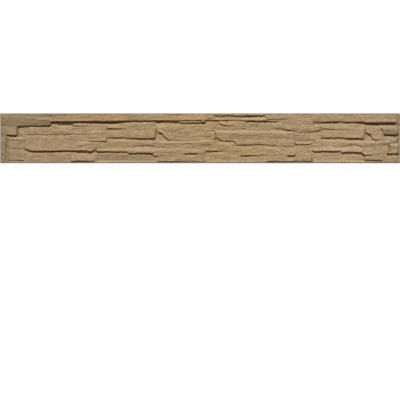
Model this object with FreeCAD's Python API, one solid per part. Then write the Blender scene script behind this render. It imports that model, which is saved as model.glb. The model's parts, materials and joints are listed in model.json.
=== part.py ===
"""Concrete gravel board, cast in one piece: the plank at the foot of a fence, between two slotted posts.

It lies on its back. Its face, turned up, is cast as a dry wall of thin split stones that stand out by
different amounts. Its back, turned down, is flat and stamped with the joints of a random stone wall.
X runs along the board, +Y is its upper edge once it stands in the fence, and +Z is the way the face looks.
The origin is the middle of the back.
"""

import FreeCAD, Part
import math
import os

Vector = FreeCAD.Vector

# Driving dimensions, in millimetres and degrees
LENGTH = 2000.0  # end to end, on the back
HEIGHT = 250.0  # lower edge to upper edge, on the back
CORE = 36.0  # from the back to the bed that the stones stand on
RELIEF = 14.0  # from the bed to the proudest stone
SIDE_LEAN = 6.0  # how far each edge and end leans in between the back and the proudest stone
STONE_DRAFT = 12.0  # lean of a stone's own sides, so that it leaves the mould
ROOT = 3.0  # how deep a stone reaches into the core, to be one piece with it
JOINT_WIDTH = 7.0  # a stamped joint at the surface of the back
JOINT_FLOOR = 3.0  # the same joint at its floor
JOINT_DEPTH = 3.0

THICKNESS = CORE + RELIEF

# The sheet that face and back are drawn on: x from the left end and y from the lower edge, as each is looked
# at, and a stone's rise above the bed. The drawing is fitted to the board's own length, height and relief.
SHEET_LENGTH = 2000.0
SHEET_HEIGHT = 250.0
SHEET_RELIEF = 14.0

# Split stones of the face, course by course from the top. Each has its rise at both ends of its lower lip,
# its rise at its upper edge, and the outline of its face. Where two overlap, the prouder one shows.
STONES = [
    ("corner_top", 9.5, 10, 6.5, [(-9, 221), (100, 222), (185, 219), (250, 220), (250, 259), (-9, 259)]),
    ("corner_stone", 8.5, 9.5, 10, [(-9, 190), (33, 189), (88, 189), (120, 188), (200, 189), (240, 191),
                                    (253, 194), (256, 205), (256, 224), (-9, 224)]),
    ("cap_left", 11.5, 14.2, 9.5, [(254, 211), (450, 211), (520, 210), (520, 259), (254, 259)]),
    ("cap_middle", 14.2, 10, 8.5, [(518, 210), (560, 211), (640, 213), (780, 213), (806, 212), (893, 215),
                                   (1024, 217), (1031, 224), (1064, 226), (1064, 259), (518, 259)]),
    ("cap_ledge", 7, 8, 6, [(897, 204), (1026, 205), (1030, 211), (1024, 215), (897, 214)]),
    ("cap_rim", 10, 10, 9, [(1066, 237), (1076, 243), (1087, 240), (1110, 239), (1316, 238), (1321, 243),
                            (1321, 259), (1066, 259)]),
    ("cap_sunk", 7, 5, 3, [(1030, 217), (1090, 216), (1150, 214), (1212, 214), (1212, 236), (1066, 236),
                           (1030, 226)]),
    ("cap_wedge", 7, 11, 2.5, [(1208, 217), (1222, 214), (1300, 212), (1340, 212), (1336, 220),
                               (1326, 234), (1208, 233)]),
    ("cap_right", 10, 9, 8.5, [(1338, 219), (1380, 222), (1436, 222), (1470, 216), (1520, 212),
                               (1566, 211), (1566, 259), (1322, 259), (1324, 242), (1332, 224)]),
    ("cap_right_ledge", 6.5, 8.6, 7.2, [(1338, 211), (1372, 210), (1420, 208), (1500, 202), (1566, 200),
                                        (1566, 226), (1338, 226)]),
    ("cap_far", 10, 13, 9.5, [(1564, 209), (1600, 208), (1700, 207), (1820, 206), (1984, 206),
                              (1979, 217), (1979, 259), (1564, 259)]),
    ("cap_end", 7.5, 7.5, 7, [(1976, 194), (2009, 194), (2009, 259), (1976, 259)]),
    ("corner_drop", 8.5, 9, 8, [(33, 143), (78, 143), (84, 150), (85, 192), (33, 192)]),
    ("end_upper", 6.5, 6.5, 7.5, [(-9, 92), (28, 92), (35, 143), (35, 187), (-9, 187)]),
    ("end_middle", 5.4, 5.4, 6, [(-9, 42), (27, 42), (28, 97), (-9, 97)]),
    ("end_lower", 4.4, 4.4, 4.8, [(-9, -9), (26, -9), (27, 46), (-9, 46)]),
    ("second_left", 4.5, 5, 3, [(96, 112), (122, 112), (130, 144), (250, 144), (400, 145), (448, 147),
                                (520, 158), (537, 172), (540, 196), (470, 190), (362, 191), (275, 192),
                                (240, 184), (120, 181), (96, 179)]),
    ("thin_shelf", 7, 6, 1, [(366, 190), (470, 189), (520, 194), (560, 198), (560, 202), (366, 201)]),
    ("square_block", 7.5, 7.5, 6, [(443, 112), (533, 111), (534, 158), (522, 163), (470, 160), (443, 157)]),
    ("second_middle", 8, 4.5, 3.5, [(533, 180), (542, 173), (590, 172), (690, 170), (778, 169), (786, 177),
                                    (786, 206), (533, 203)]),
    ("third_middle", 6.5, 10, 4, [(541, 131), (600, 129), (680, 127), (774, 125), (779, 140), (780, 168),
                                  (541, 170)]),
    ("notch_floor", 4.5, 4.5, 0.5, [(776, 110), (848, 108), (806, 146), (784, 166), (776, 168)]),
    ("notched_slab", 7.5, 7.5, 4, [(783, 176), (788, 160), (792, 151), (803, 150), (813, 143), (825, 128),
                                   (836, 118), (900, 113), (1030, 112), (1076, 118), (1073, 131),
                                   (1071, 152), (1063, 168), (1060, 194), (905, 194), (893, 200),
                                   (783, 200)]),
    ("second_centre", 2.5, 4.2, 3.5, [(1030, 168), (1068, 165), (1268, 165), (1272, 172), (1286, 191),
                                      (1286, 206), (1030, 206)]),
    ("second_centre_top", 7.5, 3.6, 2, [(1084, 204), (1098, 196), (1114, 191), (1172, 190), (1290, 193),
                                        (1362, 193), (1372, 186), (1380, 206), (1215, 205), (1090, 210)]),
    ("broad_slab", 8.5, 7, 4.5, [(1078, 152), (1080, 131), (1088, 124), (1104, 114), (1164, 111),
                                 (1184, 91), (1205, 91), (1295, 96), (1330, 90), (1400, 87), (1471, 87),
                                 (1477, 116), (1466, 141), (1470, 158), (1400, 163), (1072, 165)]),
    ("upper_centre", 5, 5, 6, [(1272, 164), (1340, 166), (1390, 168), (1368, 186), (1362, 192),
                               (1292, 192)]),
    ("upper_right", 6.8, 8.6, 7.6, [(1366, 186), (1384, 174), (1440, 167), (1470, 163), (1490, 159),
                                    (1530, 157), (1560, 158), (1588, 161), (1602, 168), (1605, 200),
                                    (1480, 207), (1380, 206)]),
    ("middle_right", 5, 5, 3.5, [(1470, 140), (1479, 117), (1605, 116), (1608, 164), (1590, 156),
                                 (1530, 151), (1472, 155)]),
    ("thin_ledge", 7.5, 8, 4.5, [(1478, 97), (1556, 97), (1562, 112), (1480, 113)]),
    ("second_far", 8.5, 4.5, 4, [(1606, 174), (1700, 171), (1822, 168), (1822, 196), (1606, 200)]),
    ("third_far", 7.5, 10, 4, [(1607, 131), (1680, 129), (1750, 127), (1815, 127), (1822, 140),
                               (1822, 172), (1607, 174)]),
    ("far_notch_floor", 4.5, 4.5, 0.5, [(1818, 108), (1880, 110), (1852, 140), (1824, 152), (1818, 166)]),
    ("far_notched_slab", 7, 6.5, 5, [(1828, 174), (1829, 153), (1849, 147), (1857, 138), (1871, 118),
                                     (1955, 114), (1988, 114), (1988, 135), (1917, 138), (1909, 150),
                                     (1903, 178), (1850, 188), (1828, 186)]),
    ("end_shelf", 9, 9, 3, [(1903, 178), (1920, 166), (1992, 166), (1992, 186), (1975, 190), (1900, 189)]),
    ("end_block", 11, 11.5, 10.5, [(1920, 147), (1988, 144), (1992, 150), (1992, 171), (1924, 173),
                                   (1914, 177)]),
    ("left_shelf", 4.5, 5, 3, [(45, 117), (118, 116), (121, 129), (45, 131)]),
    ("left_upper", 3.5, 3.5, 3, [(45, 108), (118, 108), (118, 120), (45, 120)]),
    ("left_middle", 5, 5.5, 3, [(44, 77), (122, 75), (122, 112), (44, 112)]),
    ("left_lower", 5, 5.5, 3.5, [(44, 17), (123, 17), (126, 50), (122, 79), (44, 81)]),
    ("big_slab", 9.5, 8, 5, [(124, 72), (150, 64), (250, 64), (320, 65), (380, 62), (455, 61), (468, 73),
                             (484, 103), (400, 108), (335, 137), (131, 140), (126, 126)]),
    ("slab_wedge", 6, 6, 4.5, [(335, 137), (400, 108), (484, 100), (492, 113), (446, 145), (335, 142)]),
    ("slab_end", 7.5, 4.2, 5, [(469, 74), (500, 80), (545, 83), (545, 118), (490, 112), (483, 102)]),
    ("course_strip", 7, 6.5, 4.5, [(780, 103), (860, 104), (1000, 102), (1076, 104), (1076, 113),
                                   (780, 113)]),
    ("ridge_upper", 4.2, 5.2, 6, [(484, 76), (640, 81), (690, 88), (725, 91), (765, 89), (780, 80),
                                  (830, 80), (832, 92), (1027, 92), (1076, 98), (1076, 110), (780, 112),
                                  (540, 122), (486, 110)]),
    ("ridge_left", 10, 9.5, 4, [(480, 61), (622, 59), (642, 51), (760, 52), (768, 58), (774, 76),
                                (690, 84), (640, 79), (484, 76)]),
    ("ridge_middle", 7, 9, 4, [(764, 50), (776, 38), (800, 43), (850, 48), (986, 50), (1026, 53),
                               (1036, 64), (1036, 97), (832, 97), (828, 79), (770, 79)]),
    ("low_centre", 8, 6.5, 5, [(1028, 62), (1080, 61), (1120, 62), (1215, 60), (1215, 88), (1182, 88),
                               (1162, 106), (1100, 109), (1028, 100)]),
    ("low_broad", 7.5, 7, 5, [(1203, 41), (1260, 40), (1330, 43), (1440, 42), (1476, 41), (1482, 60),
                              (1477, 84), (1340, 85), (1290, 90), (1200, 86)]),
    ("low_right_sunk", 4, 4, 3.5, [(1476, 41), (1560, 42), (1560, 62), (1553, 80), (1560, 93), (1478, 92),
                                   (1484, 62)]),
    ("ridge_far_upper", 4.2, 5.5, 6, [(1562, 80), (1640, 80), (1700, 83), (1740, 90), (1775, 94),
                                      (1800, 90), (1814, 84), (1870, 84), (1874, 98), (1945, 98),
                                      (1945, 108), (1600, 118), (1562, 112)]),
    ("far_course_strip", 7, 6.5, 4.5, [(1820, 104), (1950, 104), (1950, 113), (1820, 113)]),
    ("ridge_right", 10, 9.5, 4, [(1560, 66), (1567, 61), (1698, 61), (1710, 55), (1808, 54), (1814, 80),
                                 (1775, 90), (1740, 86), (1700, 80), (1564, 79)]),
    ("ridge_far", 8, 7, 4.5, [(1810, 50), (1820, 42), (1862, 43), (1940, 48), (1940, 101), (1873, 101),
                              (1871, 82), (1810, 82)]),
    ("end_low_block", 9, 9, 6, [(1952, 50), (1992, 50), (1992, 98), (1954, 99)]),
    ("foot_left", 5, 5, 3, [(118, -9), (360, -9), (360, 56), (150, 56), (128, 62)]),
    ("foot_second", 7.5, 7.5, 3.5, [(355, 12), (470, 12), (476, 22), (474, 52), (355, 53)]),
    ("foot_third", 5, 5, 3, [(470, -9), (790, -9), (790, 18), (764, 42), (640, 44), (625, 52), (478, 53)]),
    ("foot_centre", 7, 5.5, 6, [(786, 12), (895, 11), (1024, 9), (1025, 54), (990, 53), (984, 43), (926, 42),
                                (918, 52), (850, 52), (800, 47), (786, 40)]),
    ("foot_after_joint", 4.4, 6, 5, [(1027, -9), (1204, -9), (1204, 64), (1125, 59), (1027, 53)]),
    ("foot_right_centre", 4.5, 6, 4.5, [(1200, -9), (1336, -9), (1336, 46), (1262, 42), (1250, 34),
                                        (1200, 33)]),
    ("foot_raised", 7.5, 7, 6.2, [(1336, 12), (1556, 12), (1560, 30), (1556, 46), (1480, 46), (1474, 33),
                                  (1440, 33), (1432, 46), (1336, 47)]),
    ("foot_far", 5.5, 5.5, 3, [(1562, -9), (1826, -9), (1826, 14), (1806, 45), (1710, 46), (1698, 53),
                               (1562, 53)]),
    ("foot_far_raised", 7, 6.5, 6.2, [(1822, 18), (1915, 17), (1930, 32), (1936, 42), (1936, 54),
                                      (1862, 48), (1822, 47)]),
    ("foot_end", 5, 5, 5.2, [(1912, -9), (1964, -9), (1966, 38), (1930, 38), (1912, 20)]),
    ("foot_corner", 4.5, 4.5, 4.5, [(1966, -9), (2009, -9), (2009, 38), (1968, 40)]),
]

# Joints stamped into the back, as lines along their middles: beds from the top, then the joints across them
BED_JOINTS = [
    [(993, 239), (1120, 236), (1225, 232), (1240, 212), (1252, 190)],
    [(646, 235), (700, 235), (728, 231), (815, 229)],
    [(1562, 230), (1640, 233), (1740, 230), (1780, 234), (1838, 234)],
    [(1838, 240), (1889, 241)],
    [(20, 231), (120, 232), (251, 230)],
    [(1838, 216), (1870, 218), (1895, 215), (1940, 217), (2009, 217)],
    [(270, 211), (396, 216), (480, 216), (645, 214), (690, 208), (797, 207), (880, 212), (940, 208),
     (1003, 208)],
    [(78, 211), (169, 210)],
    [(1515, 200), (1518, 208), (1530, 213), (1564, 214)],
    [(20, 198), (78, 199), (88, 188), (93, 170), (93, 149)],
    [(1006, 193), (1050, 195), (1150, 191), (1252, 190), (1340, 184), (1380, 190), (1440, 194),
     (1515, 200)],
    [(1535, 156), (1520, 163), (1515, 178), (1517, 189), (1563, 191), (1680, 194), (1700, 188),
     (1740, 188), (1780, 194), (1838, 194)],
    [(1948, 190), (2009, 190)],
    [(93, 185), (265, 186), (277, 190), (400, 188), (527, 187)],
    [(894, 188), (1006, 190)],
    [(820, 173), (893, 173)],
    [(896, 168), (905, 165), (1030, 161), (1100, 158), (1233, 153)],
    [(527, 163), (610, 159), (670, 163), (720, 163), (827, 155), (902, 152)],
    [(1513, 158), (1540, 156), (1640, 156), (1682, 161), (1780, 162), (1840, 166), (2009, 163)],
    [(22, 147), (93, 149), (200, 146), (270, 145), (340, 149), (420, 152), (527, 151)],
    [(1246, 147), (1300, 147), (1390, 153), (1480, 152), (1513, 158)],
    [(527, 150), (545, 145), (670, 144), (688, 140)],
    [(1260, 126), (1310, 127), (1330, 132), (1388, 134)],
    [(1628, 127), (1776, 131), (1924, 133), (1960, 130), (2009, 132)],
    [(25, 113), (110, 114), (150, 109), (250, 109), (290, 114), (380, 116), (420, 122), (575, 122),
     (610, 117), (1000, 118), (1092, 116), (1130, 110), (1262, 109), (1370, 113), (1382, 118),
     (1450, 121), (1540, 121)],
    [(255, 93), (390, 93), (500, 96), (560, 88), (740, 88), (900, 92), (970, 89), (1010, 94), (1093, 92)],
    [(1231, 85), (1360, 85), (1375, 88), (1500, 92), (1640, 93), (1740, 95), (1790, 100), (1850, 102),
     (1902, 99)],
    [(58, 73), (122, 73), (253, 73)],
    [(983, 67), (1060, 71), (1200, 74), (1231, 73)],
    [(1756, 65), (1850, 70), (1940, 66), (1992, 65)],
    [(1607, 55), (1650, 57), (1752, 58)],
    [(793, 42), (855, 42)],
    [(31, 31), (130, 30), (170, 28), (260, 33), (360, 43), (470, 43), (502, 36), (640, 37), (699, 33),
     (751, 32)],
    [(983, 34), (1080, 29), (1200, 33), (1270, 39), (1400, 43), (1475, 49), (1530, 53), (1607, 53)],
    [(751, 29), (770, 26), (796, 26)],
    [(1607, 55), (1608, 30), (1614, 15), (1630, 12), (1680, 23), (1751, 25), (1840, 22), (1870, 17),
     (1920, 30), (1950, 32), (1965, 27), (1993, 26)],
    [(1430, 21), (1512, 22)],
    [(799, 12), (868, 14)],
]
CROSS_JOINTS = [
    [(120, 259), (120, 232)],
    [(252, 259), (251, 230), (262, 215), (277, 190)],
    [(397, 259), (396, 216)],
    [(645, 259), (648, 230), (645, 214)],
    [(703, 259), (695, 235)],
    [(823, 259), (815, 229), (822, 209)],
    [(999, 259), (992, 239), (998, 218), (1006, 192)],
    [(1556, 259), (1562, 230), (1565, 214), (1563, 191)],
    [(1715, 259), (1707, 232)],
    [(1838, 259), (1838, 180), (1842, 166)],
    [(1888, 259), (1889, 232), (1895, 215)],
    [(171, 231), (168, 210), (173, 198), (168, 186)],
    [(728, 231), (727, 208)],
    [(1152, 235), (1147, 191)],
    [(1402, 238), (1405, 222), (1413, 193)],
    [(1686, 232), (1688, 214), (1694, 191), (1685, 178), (1682, 161)],
    [(1940, 217), (1947, 203), (1948, 164)],
    [(527, 214), (526, 163), (527, 150)],
    [(797, 207), (827, 155), (832, 117)],
    [(887, 211), (894, 188), (893, 173), (902, 152), (886, 117)],
    [(414, 188), (421, 172), (420, 152)],
    [(918, 188), (917, 164)],
    [(1064, 194), (1071, 172), (1070, 160)],
    [(1229, 190), (1233, 165), (1260, 126), (1262, 109)],
    [(1398, 191), (1397, 153)],
    [(691, 162), (690, 148), (686, 124), (690, 117)],
    [(1783, 162), (1776, 131)],
    [(1936, 164), (1924, 133), (1902, 102), (1904, 67)],
    [(1047, 160), (1047, 117)],
    [(1392, 153), (1387, 134), (1391, 119)],
    [(1540, 156), (1538, 121), (1540, 108), (1547, 92)],
    [(397, 150), (396, 118)],
    [(500, 150), (496, 122)],
    [(266, 145), (288, 114)],
    [(1621, 146), (1628, 127), (1628, 93)],
    [(1738, 130), (1737, 95)],
    [(1312, 127), (1317, 111)],
    [(1093, 116), (1093, 72)],
    [(922, 117), (921, 91)],
    [(624, 117), (611, 88)],
    [(657, 117), (657, 88)],
    [(380, 116), (392, 103), (386, 93)],
    [(1370, 113), (1373, 88)],
    [(113, 114), (119, 98), (117, 82), (122, 73)],
    [(250, 109), (256, 93), (253, 73), (259, 50), (257, 33)],
    [(1232, 110), (1231, 73), (1235, 58), (1234, 36)],
    [(1763, 97), (1756, 65), (1751, 25)],
    [(527, 92), (526, 36)],
    [(1475, 91), (1474, 49)],
    [(745, 88), (752, 56), (751, 29)],
    [(850, 90), (858, 62), (855, 40), (859, 21), (872, 14), (960, 14), (975, 20), (983, 60), (978, 80),
     (966, 89)],
    [(31, 80), (31, 27)],
    [(1017, 68), (1018, 32)],
    [(1992, 65), (1993, 26)],
    [(1513, 52), (1511, 11)],
    [(793, 48), (796, 26), (801, -9)],
    [(1434, 46), (1428, 9)],
    [(433, 43), (440, 30), (438, -9)],
    [(343, 41), (343, -9)],
    [(1337, 41), (1328, 9)],
    [(502, 36), (502, -9)],
    [(699, 33), (691, -9)],
    [(68, 31), (84, -9)],
    [(126, 30), (134, -9)],
    [(1042, 31), (1047, 9)],
    [(1113, 30), (1110, 7)],
    [(976, 20), (977, 4)],
]


def on_face(x, y):
    """A point of the sheet, placed on the board as the face is looked at."""
    return (x / SHEET_LENGTH - 0.5) * LENGTH, (y / SHEET_HEIGHT - 0.5) * HEIGHT


def on_back(x, y):
    """A point of the sheet, placed on the board as the back is looked at, with left and right exchanged."""
    right, up = on_face(x, y)
    return -right, up


def rise_above_back(rise):
    """Height of a drawn rise above the board's back."""
    return CORE + rise * RELIEF / SHEET_RELIEF


def inset(outline, distance):
    """The outline, drawn counter-clockwise, with every side moved inwards by the distance."""
    moved = []
    for before, here, after in zip(outline[-1:] + outline[:-1], outline, outline[1:] + outline[:1]):
        into = Vector(here[0] - before[0], here[1] - before[1], 0).normalize()
        out_of = Vector(after[0] - here[0], after[1] - here[1], 0).normalize()
        mitre = Vector(-into.y - out_of.y, into.x + out_of.x, 0)
        mitre = mitre * (distance / (1 + into.dot(out_of)))
        moved.append((here[0] + mitre.x, here[1] + mitre.y))
    return moved


def face_plane(outline, lip_left, lip_right, upper):
    """Height of a stone's face over a point: level along its upper edge, tilted to its lip's two ends."""
    left = min(x for x, y in outline)
    right = max(x for x, y in outline)
    low = min(y for x, y in outline)
    high = max(y for x, y in outline)
    along = (lip_right - lip_left) / (right - left)
    middle = (left + right) / 2
    across = (upper - (lip_left + lip_right) / 2) / (high - low)
    base = (lip_left + lip_right) / 2
    return lambda x, y: base + along * (x - middle) + across * (y - low)


def polygon(points):
    return Part.Face(Part.makePolygon(points + points[:1]))


def frustum(foot, crest):
    """A solid between two loops of as many corners, with a flat side between each pair of neighbours."""
    count = len(foot)
    sides = [
        polygon([foot[i], foot[(i + 1) % count], crest[(i + 1) % count], crest[i]])
        for i in range(count)
    ]
    return Part.makeSolid(Part.makeShell([polygon(foot), polygon(crest)] + sides))


def stone(lip_left, lip_right, upper, drawn):
    """One split stone: a drafted block on the bed with a tilted plane for its face."""
    foot_z = CORE - ROOT
    lean = math.tan(math.radians(STONE_DRAFT))
    face = [on_face(x, y) for x, y in drawn]
    rises = [rise_above_back(rise) for rise in (lip_left, lip_right, upper)]
    height = face_plane(face, *rises)
    # The sides spread from the face's outline, at its middle height, down to the foot
    outline = inset(face, lean * (foot_z - sum(rises) / len(rises)))
    foot = [Vector(x, y, foot_z) for x, y in outline]
    # Each corner leans along its mitre, up to where it meets the tilted face
    crest = []
    for corner, leaned in zip(foot, inset(outline, lean)):
        step = Vector(leaned[0] - corner.x, leaned[1] - corner.y, 1)
        slope = height(leaned[0], leaned[1]) - height(corner.x, corner.y)
        climb = (height(corner.x, corner.y) - foot_z) / (1 - slope)
        crest.append(corner + step * climb)
    return frustum(foot, crest)


def leaning_block(top):
    """A block on the back's rectangle, up to a height, with its edges and ends leaning in as the board's."""
    x, y = LENGTH / 2, HEIGHT / 2
    corners = [(-x, -y), (x, -y), (x, y), (-x, y)]
    crest = inset(corners, SIDE_LEAN * top / THICKNESS)
    return frustum([Vector(x, y, 0) for x, y in corners], [Vector(x, y, top) for x, y in crest])


def joint_cutter(drawn):
    """What a stamped joint takes out of the back: a tapered channel along the joint's line."""
    line = [Vector(*on_back(x, y), 0) for x, y in drawn]
    along = (line[1] - line[0]).normalize()
    across = Vector(-along.y, along.x, 0)
    flare = (JOINT_WIDTH - JOINT_FLOOR) / (2 * JOINT_DEPTH)
    below = JOINT_DEPTH  # the cutter starts this far under the back, and keeps its taper
    section = [
        line[0] + across * (side * (JOINT_WIDTH / 2 - z * flare)) + Vector(0, 0, z)
        for side, z in [(-1, -below), (1, -below), (1, JOINT_DEPTH), (-1, JOINT_DEPTH)]
    ]
    sweep = Part.BRepOffsetAPI.MakePipeShell(Part.makePolygon(line))
    sweep.setTransitionMode(1)  # mitred corners
    sweep.setBiNormalMode(Vector(0, 0, 1))
    sweep.add(Part.makePolygon(section + section[:1]))
    sweep.build()
    sweep.makeSolid()
    return sweep.shape()


def board():
    """The core with its stones, trimmed to the board's leaning outside, with the joints cut into its back."""
    stones = [stone(*drawn) for name, *drawn in STONES]
    face = leaning_block(CORE).multiFuse(stones)
    whole = face.common(leaning_block(THICKNESS)).removeSplitter()
    return whole.cut([joint_cutter(drawn) for drawn in BED_JOINTS + CROSS_JOINTS]).Solids[0]


os.makedirs("parts", exist_ok=True)
gravel_board = board()
gravel_board.exportStep("parts/gravel_board.step")
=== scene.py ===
"""Looks of a cast concrete gravel board that lies on its back with its split-stone face up.

The board's face and back are read from its solid as two height maps. Ragged split edges, thin ledges, wear
and grain are worked into them, and the two maps and the four edges become one closed mesh with a concrete
finish. Lengths are in metres, X along the board, +Y towards its upper edge and +Z out of its face.
"""

import json
import math

import bpy
import numpy as np
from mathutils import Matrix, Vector
from mathutils.bvhtree import BVHTree


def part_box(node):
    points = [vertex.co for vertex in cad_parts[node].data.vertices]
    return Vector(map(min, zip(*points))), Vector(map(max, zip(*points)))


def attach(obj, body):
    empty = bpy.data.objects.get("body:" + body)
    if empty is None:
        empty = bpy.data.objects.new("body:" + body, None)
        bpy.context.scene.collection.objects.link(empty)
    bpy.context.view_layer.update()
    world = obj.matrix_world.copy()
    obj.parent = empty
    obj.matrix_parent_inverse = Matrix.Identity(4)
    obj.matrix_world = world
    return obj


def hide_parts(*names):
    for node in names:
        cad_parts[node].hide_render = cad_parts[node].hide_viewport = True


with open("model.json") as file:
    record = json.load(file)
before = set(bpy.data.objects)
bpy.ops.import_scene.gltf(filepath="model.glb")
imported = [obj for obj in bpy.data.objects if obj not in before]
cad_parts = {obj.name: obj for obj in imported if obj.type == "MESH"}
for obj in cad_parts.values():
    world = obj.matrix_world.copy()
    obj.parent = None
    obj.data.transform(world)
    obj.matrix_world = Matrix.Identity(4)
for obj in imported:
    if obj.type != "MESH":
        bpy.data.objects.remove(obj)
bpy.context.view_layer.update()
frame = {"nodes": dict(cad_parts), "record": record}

NODE = "gravel_board"
MM = 0.001
SEED = 7  # each noise has a seed of its own: this one plus a number

# The board, as the frame has it
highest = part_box(NODE)[1]
HALF_LENGTH = highest.x
HALF_HEIGHT = highest.y
THICKNESS = highest.z
top_edge = next(mount for mount in frame["record"]["mounts"] if mount["name"] == "top_edge")
LEAN = top_edge["axis"][2] / top_edge["axis"][1]  # how far an edge leans in for each metre above the back
FACE_HEIGHT = 0.86  # the face's middle height, as a share of the thickness
FACE_INSET = LEAN * FACE_HEIGHT * THICKNESS  # how far the face's outline lies inside the back's there
FACE_FROM = 0.6 * THICKNESS  # what is above this is on the face
BACK_TO = 0.1 * THICKNESS  # what is below this is on the back

# The mesh
STEP_X = 2.4 * MM  # between the points of the height maps
STEP_Y = 1.25 * MM
ACROSS = ((0, STEP_Y),)  # a map's axes, and the steps along them
ALONG = ((1, STEP_X),)
MARGIN = 0.5 * MM  # how far inside its outline the solid is read
BORDER = 15 * MM  # width of the strip of each map that follows the lean of the edges
SIDE_ROWS = 20  # rows of faces up an edge, from the back to the face
MOST_TRIANGLES = 192_000
CREASE = math.radians(40)
FLAT_STEPS = (200, 200, 2000)  # how finely two flats are told apart: to a unit of tilt, and to a metre

# The relief
RELIEF_DROP = 1.0 * MM  # how much nearer to the lower edge it lies than the solid's stones
RAGGED = 2.0 * MM  # how far the stones' borders wander
RAGGED_JOINTS = 0.9 * MM  # the same for the stamped joints of the back
ARRIS = 1.2 * MM  # usual size of the board's own arrises
GRAIN = 0.3 * MM  # height of the face's grains
PITTING = 0.3 * MM  # depth of the back's pits
LEDGES = [  # pitch, drop and seed
    (15 * MM, 1.3 * MM, SEED + 20),
    (8 * MM, 0.5 * MM, SEED + 40),
]
LUMPS = [  # height, length, width and seed
    (1.2 * MM, 110 * MM, 28 * MM, SEED + 60),
    (1.0 * MM, 26 * MM, 13 * MM, SEED + 65),
]

# The light, which comes down the face from its upper edge
SUN_ELEVATION = math.radians(42)
SUN_DRIFT = 0.10  # how far it comes along the board, for each metre that it travels
SUN_SPREAD = math.radians(10)
SUN_STRENGTH = 3.6
SKY = (1, 0.985, 0.955, 1)
SKY_STRENGTH = 0.28

# The camera, straight above
CAMERA_HEIGHT = 40.0
VIEW_WIDTH = 2.0003
VIEW_MIDDLE = (-0.0003, -0.3088)
FLOOR_REACH = 60.0

# Colours of the concrete, some of them for painted light and shade
OCHRE = (0.386, 0.256, 0.106, 1)
ROSE = (0.383, 0.248, 0.153, 1)
OLIVE = (0.319, 0.235, 0.110, 1)
GREY = (0.284, 0.208, 0.127, 1)
DUN = (0.208, 0.147, 0.078, 1)
PALE = (0.465, 0.352, 0.224, 1)
LIT = (0.512, 0.398, 0.256, 1)
SOOT = (0.05, 0.03, 0.012, 1)
UMBER = (0.21, 0.14, 0.07, 1)
BARK = (0.257, 0.165, 0.068, 1)
BROWN = (0.255, 0.118, 0.015, 1)
PALE_CEMENT = (0.40, 0.31, 0.20, 1)
CEMENT = (0.24, 0.185, 0.12, 1)
PAINTED_SHADE_CEMENT = (0.10, 0.08, 0.053, 1)

# What follows is drawn on the face, in millimetres from its left end and its lower edge, and is
# listed from left to right.
# Places where the stones' borders lie further down still, or further up: the middle, the reach each way,
# and how far down
SLIPS = [
    (36, 141, 12, 12, -3.0),
    (80, 142, 12, 12, 4.0),
    (86, 188, 14, 10, 4.0),
    (230, 66, 70, 12, 2.4),
    (264, 208, 12, 10, 2.5),
    (330, 206, 60, 18, 1.0),
    (458, 67, 22, 16, 6.0),
    (474, 72, 7, 12, 7.0),
    (560, 208, 130, 22, -1.5),
    (634, 53, 8, 9, -5.0),
    (716, 130, 22, 12, 2.5),
    (768, 43, 14, 14, 6.0),
    (800, 213, 40, 10, -1.5),
    (950, 205, 60, 10, 3.0),
    (960, 217, 60, 6, 1.5),
    (1024, 218, 22, 12, 7.0),
    (1300, 225, 180, 25, -1.5),
    (1455, 42, 20, 10, 2.0),
    (1640, 129, 55, 10, 1.0),
    (1706, 58, 9, 10, 3.0),
    (1750, 210, 90, 16, -1.5),
    (1803, 131, 14, 10, 4.0),
    (1840, 140, 26, 24, 3.5),
    (1895, 202, 75, 16, 1.5),
]
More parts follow.
